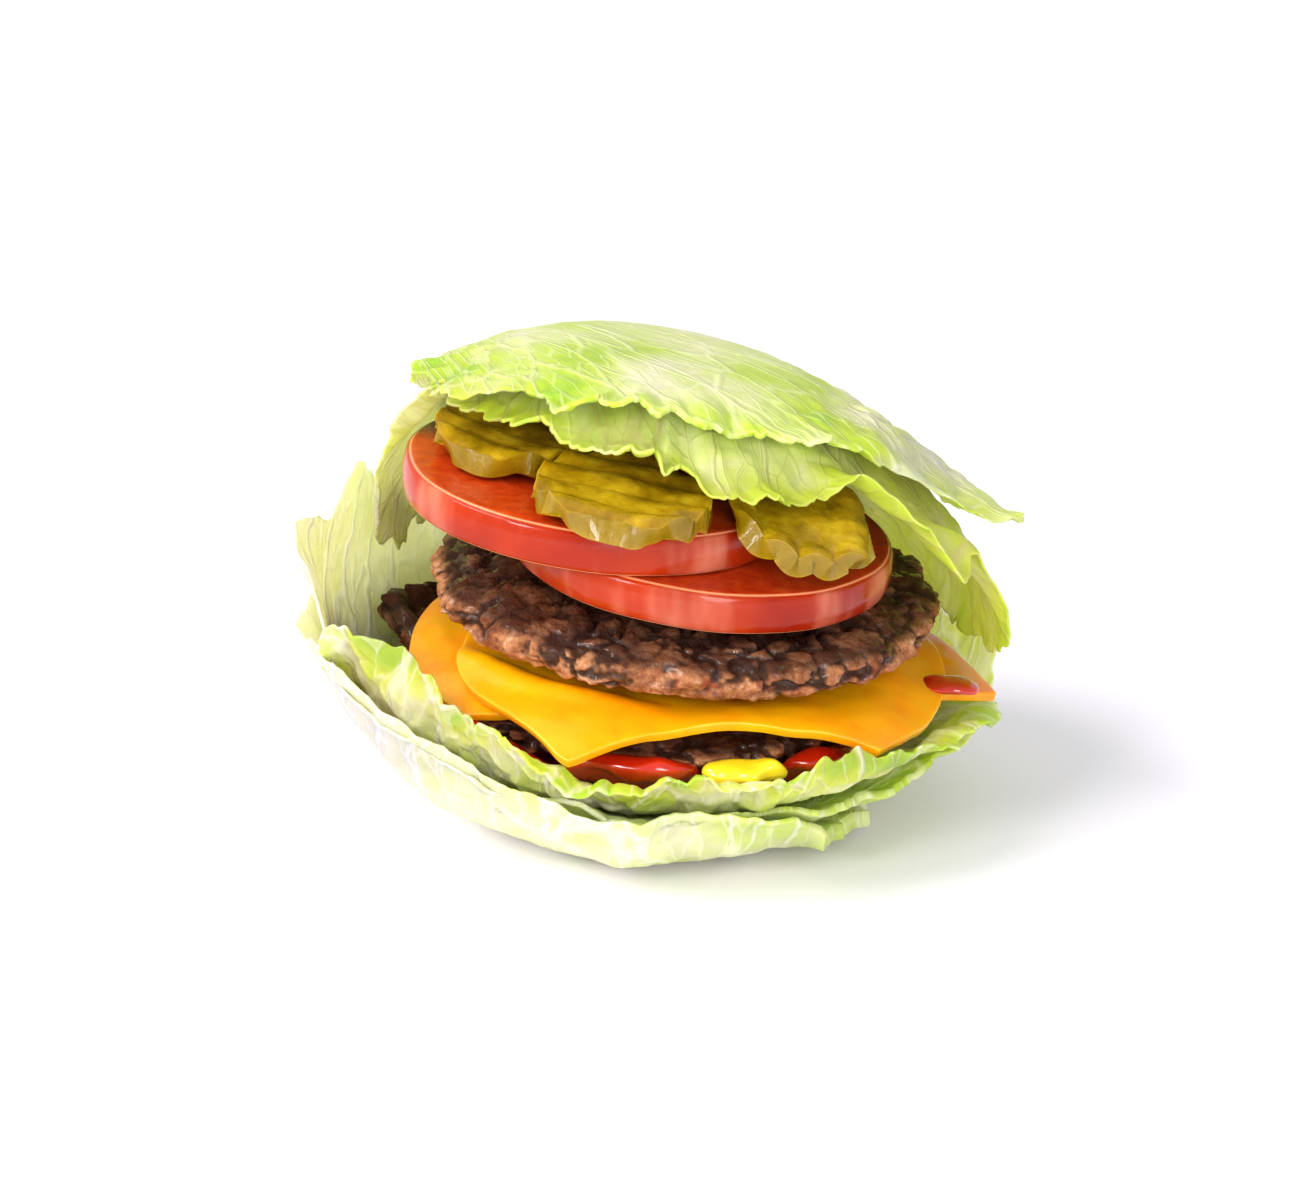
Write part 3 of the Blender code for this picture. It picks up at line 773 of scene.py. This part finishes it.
def patty(name, pose, radius, thickness, seed, outline, lift, finish):
    """A hand-pressed patty, lumpy like the solid, with crumbs of mince and cracks between them."""
    segments, rings = ((560, 84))
    body = ball(name, segments, rings)
    corners = points_of(body)
    level = corners[:, 2]
    angle = np.arctan2(corners[:, 1], corners[:, 0])
    spread = bluntly(level, PATTY_BLUNTNESS)
    reach = (radius * MM + by_direction(outline, angle) * MM) * spread
    height = np.copysign(np.abs(level) ** 0.8, level) * thickness * MM / 2
    points = np.stack((reach * np.cos(angle), reach * np.sin(angle), height), axis=1)
    lump = np.fromiter(
        (noise.noise(spot) for spot in (points / (11 * MM) + (0, 0, seed)).tolist()), float, len(points)
    )
    crumb = np.fromiter(
        (noise.noise(spot) for spot in (points / (5 * MM) + (0, seed, 0)).tolist()), float, len(points)
    )
    rim = ease((spread - 0.75) / 0.2)
    outwards = np.stack((np.cos(angle), np.sin(angle), np.zeros(len(angle))), axis=1)
    points = points + outwards * (rim * (2.6 * MM * lump + 1.3 * MM * crumb))[:, None]
    points[:, 2] += (0.5 + 0.5 * rim) * 0.9 * MM * lump
    middle, crack = clumps(points, CLUMP_SIZE, seed, 0.28)
    grain, chink = clumps(points, GRAIN_SIZE, seed + 5, 0.4)
    open_crack = ease(0.55 + 0.9 * soft_noise(points, 13 * MM, seed + 2))
    open_chink = ease(0.45 + 0.8 * soft_noise(points, 8 * MM, seed + 4))
    swell = 0.95 * (middle - 0.55) - 1.5 * crack * open_crack
    swell = swell + 0.5 * (grain - 0.55) - 0.4 * chink * open_chink
    swell = swell + 0.30 * soft_noise(points, 1.7 * MM, seed) + 0.16 * soft_noise(points, 0.9 * MM, seed + 1)
    facing = outwards * rim[:, None] + np.stack((0 * level, 0 * level, level), axis=1) * 0.8
    facing /= np.maximum(np.linalg.norm(facing, axis=1), 0.001)[:, None]
    points = points + facing * (swell * MM)[:, None]
    points[:, 2] += ease((spread - 0.88) / 0.07) * by_direction(lift, angle) * MM
    move_points(body, place(points, pose))
    # How far the surface stands out; the finish paints shade where it sinks.
    mark(body, "deep", np.clip(0.55 + 0.45 * swell, 0, 1))
    browned = np.where(level > 0, ease((level - 0.12) / 0.3), ease((-level - 0.5) / 0.4))
    browned = browned + ease((by_direction(lift, angle) - 1) / 3)
    mark(body, "sear", np.clip(browned + 0.35 * soft_noise(points, 7 * MM, seed), 0, 1))
    return finish_piece(body, name.replace("beef_", "patty_"), finish)


def slice_points(outline, across, along):
    """Points of a four-sided slice with curved sides, across and along it from -1 to 1."""
    corners = [(-1, -1), (1, -1), (1, 1), (-1, 1)]
    middles = [(0, -1), (1, 0), (0, 1), (-1, 0)]
    spots = np.zeros((len(across), 2))
    for (x, y), point in zip(corners, outline[0::2]):
        weight = (1 + across * x) * (1 + along * y) * (across * x + along * y - 1) / 4
        spots += weight[:, None] * np.array(point) * MM
    for (x, y), point in zip(middles, outline[1::2]):
        bow = 1 - (along if x else across) ** 2
        spots += (bow * (1 + across * x + along * y) / 2)[:, None] * np.array(point) * MM
    return spots


def cheese(name, pose, outline, trim, flat, radius, steepest, crease, seed, finish):
    """A soft slice that lies flat out to a radius and droops beyond it, with gentle folds.

    trim is how far a side is drawn in by direction, as a share, and crease is (middle and half
    width of its stretch in degrees, radius and height in mm).
    """
    cells = 120
    sheet = grid(name, cells, cells)
    corners = points_of(sheet)
    spots = slice_points(outline, corners[:, 0], corners[:, 1])
    angle = np.arctan2(spots[:, 1], spots[:, 0])
    away = np.hypot(spots[:, 0], spots[:, 1]) * by_direction(trim, angle)
    out, fall, slope = curl(away, flat * MM, radius * MM, np.radians(by_direction(steepest, angle)))
    points = np.stack((out * np.cos(angle), out * np.sin(angle), -fall), axis=1)
    free = ease((away - (flat - 8) * MM) / (16 * MM))
    sway = soft_noise(points, 19 * MM, seed)
    sway = sway + 0.9 * ripple(angle, 11, seed) * ease((away - 38 * MM) / (22 * MM))
    points[:, 2] += free * 1.1 * MM * sway + 0.12 * MM * soft_noise(points, 5 * MM, seed)
    middle, spread, ring, height = crease
    off_middle = np.abs((np.degrees(angle) - middle + 180) % 360 - 180)
    ridge = np.exp(-(((away / MM - ring - 0.05 * off_middle) / 2.8) ** 2))
    points[:, 2] += height * MM * ridge * ease(1.4 - off_middle / spread)
    move_points(sheet, place(points, pose))
    thicken(sheet, CHEESE_SOFT_THICKNESS, 1)
    round_edges(sheet, 0.8 * MM)
    return finish_piece(sheet, name.replace("slice_", "", 1), finish)


def sauce(name, node, pose, outline, thickness, lip, swell, blunt, rough, finish, seed):
    """A puddle of thick sauce with a fat round edge.

    lip is how far its rim is pushed up by direction in mm, swell by how much of its thickness it
    swells there, blunt how blunt its rim is, and rough how uneven it is in mm.
    """
    segments, rings = ((240, 36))
    body = ball(name, segments, rings)
    corners = points_of(body)
    level = corners[:, 2]
    angle = np.arctan2(corners[:, 1], corners[:, 0])
    reach = by_direction(outline, angle) * MM * bluntly(level, blunt)
    fat = by_direction(swell, angle) * ease((reach - 44 * MM) / (7 * MM))
    height = (level * (1 + fat) + 0.7 * fat) * thickness * MM / 2
    height = height + by_direction(lip, angle) * MM * ease((reach - 42 * MM) / (13 * MM))
    points = np.stack((reach * np.cos(angle), reach * np.sin(angle), height), axis=1)
    points[:, 2] += rough * MM * soft_noise(points, 7 * MM, seed) * ease(np.abs(level) * 3)
    points[:, :2] *= (1 + 0.03 * rough * ripple(angle, 14, seed))[:, None]
    move_points(body, place(points, pose))
    return finish_piece(body, node, finish)


def tomato(name, pose, radius, finish):
    """A round slice: flat cut faces, a skin side that bows a little, and a painted highlight marked along the
    edge between.
    """
    segments, rings = ((200, 90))
    body = ball(name, segments, rings)
    corners = points_of(body)
    latitude = np.arcsin(np.clip(corners[:, 2], -1, 1)) / (math.pi / 2)
    angle = np.arctan2(corners[:, 1], corners[:, 0])
    half = TOMATO_THICKNESS / 2
    turn, side = 1.1 * MM, radius * MM
    steps = np.radians(np.arange(0, 91, 15))
    corner = [(side - turn + turn * math.sin(s), half - turn + turn * math.cos(s)) for s in steps]
    outline = np.array([(0.0, half)] + corner + [(side, 0.0)])
    shares = np.array([1.0, 0.62, 0.58, 0.54, 0.50, 0.46, 0.42, 0.38, 0.0])
    order = np.argsort(shares)
    out = np.interp(np.abs(latitude), shares[order], outline[order, 0])
    height = np.interp(np.abs(latitude), shares[order], outline[order, 1]) * np.sign(latitude)
    out = out + 0.9 * MM * (1 - (height / half) ** 2) * (np.abs(latitude) < 0.46)
    out = out * (1 + 0.02 * ripple(angle, 5, radius * 0.1) + 0.012 * ripple(angle, 12, radius))
    points = np.stack((out * np.cos(angle), out * np.sin(angle), height), axis=1)
    cut = ease((np.abs(latitude) - 0.6) / 0.05)
    points[:, 2] += cut * 0.25 * MM * soft_noise(points, 12 * MM, radius)
    move_points(body, place(points, pose))
    mark(body, "skin", 1 - ease((np.abs(latitude) - 0.44) / 0.08))
    # Marks where the finish paints a highlight along the rounded cut edge.
    mark(body, "line", ease(1 - np.abs(np.abs(latitude) - 0.52) / 0.05))
    return finish_piece(body, name.replace("_slice", ""), finish)


def pickle(name, x, y, height, pitch, roll, radius, seed, turn, finish):
    """A crinkle-cut slice: both faces wave together, so the rim is scalloped."""
    cells = 100
    sheet = grid(name, cells, cells)
    corners = points_of(sheet)
    across, along = corners[:, 0], corners[:, 1]
    across, along = across * np.sqrt(1 - along**2 / 2), along * np.sqrt(1 - across**2 / 2)
    share = np.hypot(across, along)
    angle = np.arctan2(along, across)
    reach = radius * MM * (1 + 0.05 * ripple(angle, 6, seed) + 0.02 * ripple(angle, 34, seed))
    side, deep = across * reach, along * reach
    sag = 1.4 * MM * soft_noise(np.stack((side, deep, np.full(len(side), seed * MM)), axis=1), 16 * MM) / 1.7
    crest = np.sin(math.tau * side / PICKLE_WAVE_LENGTH)
    wave = PICKLE_WAVE_HEIGHT * crest * (0.3 + 0.6 * ease((share - 0.6) / 0.4))
    points = np.stack((side, deep, wave + sag), axis=1)
    points[:, 2] += 0.12 * MM * soft_noise(points, 3 * MM, seed)
    move_points(sheet, place(points, stack_pose(x, y, height, pitch, roll, turn)))
    mark(sheet, "rim", share)
    thicken(sheet, PICKLE_THICKNESS, 0)
    round_edges(sheet, 0.7 * MM)
    return finish_piece(sheet, name.replace("_slice", ""), finish)


def filling():
    beef, yellow, red = beef_finish(), cheese_finish(), tomato_finish()
    ketchup = sauce_finish("ketchup_thick", (0.38, 0.006, 0.001), (0.56, 0.020, 0.003), (1.0, 0.15, 0.08))
    mustard = sauce_finish("mustard_thick", (0.85, 0.60, 0.01), (0.95, 0.72, 0.02), (1.0, 0.7, 0.1))
    sauce(
        "sauce_ketchup", "ketchup", stack_pose(0, -1, 24.65),
        [
            (0, 50), (90, 50), (180, 51), (215, 56), (230, 56), (246, 53), (262, 54), (276, 54), (283, 47),
            (291, 41), (299, 47), (307, 56), (322, 55), (340, 51),
        ],
        3.2, [(0, -0.5), (90, -1.5), (180, 0), (214, 5.7), (232, 6.2), (322, 6.2), (340, 3)],
        [
            (0, 0), (195, 0.3), (212, 2.0), (230, 2.1), (244, 0.6), (258, 2.3), (276, 2.5), (290, 0.2),
            (306, 1.9), (328, 0.4),
        ],
        0.24, 1.1, ketchup, 4.0,
    )
    sauce(
        "sauce_mustard", "mustard", stack_pose(18.4, -52.2, 28.8, roll=-3),
        [(0, 9), (40, 5), (80, 3.8), (130, 4.6), (180, 8.8), (215, 6), (250, 4.2), (290, 5), (330, 5.4)],
        5.2, [(0, 0), (180, 0)], [(0, 0), (180, 0)], 0.42, 1.1, mustard, 5.0,
    )
    patty(
        "beef_lower", stack_pose(-2, 2, 32.6), 52.5, 11.4, 3.0,
        [
            (0, 0), (60, 0), (143, 0), (152, 7), (166, 9), (175, 1), (184, -3), (235, -3), (255, -1),
            (300, 0),
        ],
        [(0, 0), (143, 0), (152, 4.5), (166, 5), (175, 0), (200, 0)], beef,
    )
    patty(
        "beef_upper", stack_pose(6, 0, 52.0, roll=1.4), 55, 13.6, 8.0,
        [(0, 1), (90, 0), (180, 0), (270, -1)], [(0, 0), (180, 0)], beef,
    )
    cheese(
        "slice_cheese_lower", stack_pose(-2, 2, 38.9),
        [(-38, -42), (15, -38), (77, -12), (62, 22), (40, 50), (-4, 43), (-42, 26), (-51, -12)],
        [(0, 1), (180, 1)], 46, 12, [(0, 9), (60, 40), (180, 36), (225, 26), (300, 20)],
        (200, 40, 45, 0.5), 3.0, yellow,
    )
    cheese(
        "slice_cheese_upper", stack_pose(0, 0, 42.0),
        [(-17.5, -63.5), (15, -51.8), (47, -50), (64, -8), (48, 32), (0, 34), (-35, 16), (-40, -40)],
        [
            (0, 1), (180, 1), (215, 1), (225, 0.95), (233, 0.9), (240, 0.89), (247, 0.92), (255, 1), (262, 1),
            (300, 1),
        ],
        46, 24, [(0, 20), (90, 24), (180, 26), (225, 30), (255, 22), (285, 6), (315, 22)],
        (236, 30, 46, 1.8), 8.0, yellow,
    )
    sauce(
        "sauce_ketchup_smear", None, stack_pose(63, -14, 34.2, roll=10, turn=20),
        [(0, 8), (90, 3.2), (180, 6), (270, 3.6)], 2.6, [(0, 0), (180, 0)],
        [(0, 0), (180, 0)], 0.4, 0.8, ketchup, 9.0,
    )
    tomato("tomato_lower_slice", stack_pose(10, -6, 64.4, roll=4), 41, red)
    tomato("tomato_upper_slice", stack_pose(-12.5, -5.5, 76.75, roll=4), 41.5, red)
    green = pickle_finish()
    pickle("pickle_middle_slice", -6.6, -36.5, 83.2, 3, 4, 18.5, 2.0, 80, green)
    pickle("pickle_left_slice", -30.0, -7.5, 88.2, 2, 3.5, 17.5, 3.0, 60, green)
    pickle("pickle_right_slice", 30.4, -31.4, 76.33, 12, 11, 15.0, 5.0, 5, green)
    pickle("pickle_back_slice", 9.5, 9, 84.3, 0, 4, 16.5, 6.0, 35, green)


# Stage, light and camera

def stage():
    bpy.ops.object.select_all(action="DESELECT")
    bpy.ops.mesh.primitive_plane_add(size=8)
    floor = named("floor")
    material, tree, shader = blank_finish("floor_white", Roughness=0.9, Specular_IOR_Level=0.1)
    speckle = noise_texture(tree, add(tree, "TexCoord").outputs["Object"], 3.0)
    colour = ramp(tree, speckle, [(0.0, (0.885, 0.865, 0.93)), (1.0, (0.905, 0.885, 0.95))])
    tree.links.new(colour, shader.inputs["Base Color"])
    floor.data.materials.append(material)


def add_light(name, kind, spot, aim, power, colour):
    data = bpy.data.lights.new(name, kind)
    data.energy = power
    data.color = colour
    thing = bpy.data.objects.new(name, data)
    thing.location = spot
    thing.rotation_mode = "QUATERNION"
    thing.rotation_quaternion = (Vector(aim) - Vector(spot)).to_track_quat("-Z", "Y")
    bpy.context.scene.collection.objects.link(thing)
    return data


def lights():
    """White surroundings, one broad light from the upper left and two soft panels in front."""
    world = bpy.data.worlds.new("studio")
    world.use_nodes = True
    world.node_tree.nodes["Background"].inputs["Color"].default_value = (1, 1, 1, 1)
    world.node_tree.nodes["Background"].inputs["Strength"].default_value = 0.72
    bpy.context.scene.world = world
    bpy.context.scene.view_settings.view_transform = "Standard"
    aim = (0, 0, 0.05)
    key = add_light("key", "SUN", (-0.80, -0.28, 0.85), aim, 2.6, (1.0, 0.985, 0.96))
    key.angle = math.radians(35)
    for name, spot, size, power in (
        ("front_panel", (0.25, -1.0, 0.30), 0.5, 6.0), ("left_panel", (-0.55, -0.75, 0.45), 0.25, 4.0),
    ):
        panel = add_light(name, "AREA", spot, aim, power, (1, 1, 1))
        panel.shape = "DISK"
        panel.size = size


def camera():
    eye = bpy.data.objects.new("camera", bpy.data.cameras.new("camera"))
    bpy.context.scene.collection.objects.link(eye)
    eye.data.lens = 85
    eye.data.sensor_width = 36
    back = Vector((0, -math.cos(VIEW_UP), math.sin(VIEW_UP)))
    eye.location = VIEW_AIM + back * VIEW_AWAY
    eye.rotation_mode = "QUATERNION"
    eye.rotation_quaternion = (-back).to_track_quat("-Z", "Y")
    bpy.context.scene.camera = eye


camera()
stage()
lights()
filling()
bowl_leaves()
lid_leaves()
